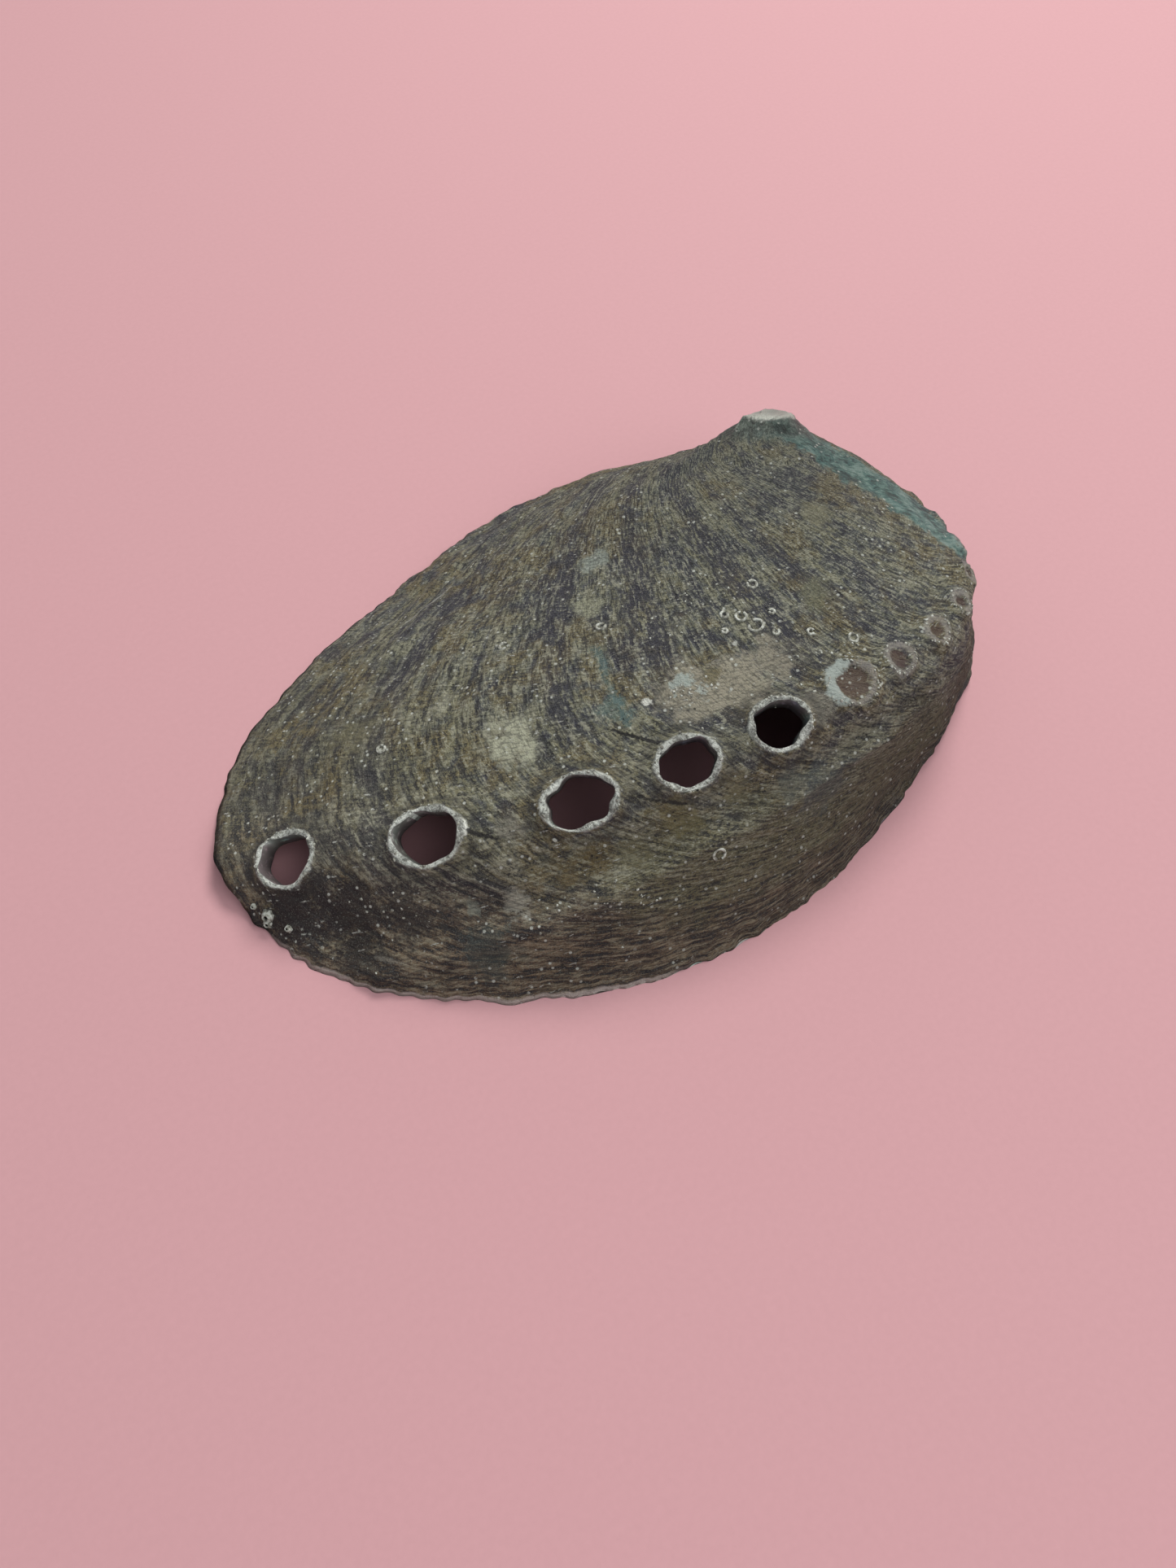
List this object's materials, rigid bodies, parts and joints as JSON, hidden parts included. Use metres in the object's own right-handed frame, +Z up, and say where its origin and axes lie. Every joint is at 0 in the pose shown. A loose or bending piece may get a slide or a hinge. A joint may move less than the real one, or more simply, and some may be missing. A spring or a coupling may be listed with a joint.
{
  "type": "abalone shell",
  "caption": "Weathered ear-shaped abalone shell, a shallow spiral dome with a curved row of raised breathing holes and a worn spire stub",
  "frame": {"origin": "middle of the outline, on the plane that the rim rests on", "axes": "+X along the length towards the spire end, -Y towards the side with the row of holes, +Z up through the dome"},
  "size_m": [0.159, 0.112, 0.0328],
  "materials": {
    "shell": "weathered olive-grey outer layer with dark bands, pearly inside, worn to blue-green nacre at the spire"
  },
  "bodies": {
    "root": {"shell": "shell"}
  },
  "joints": []
}
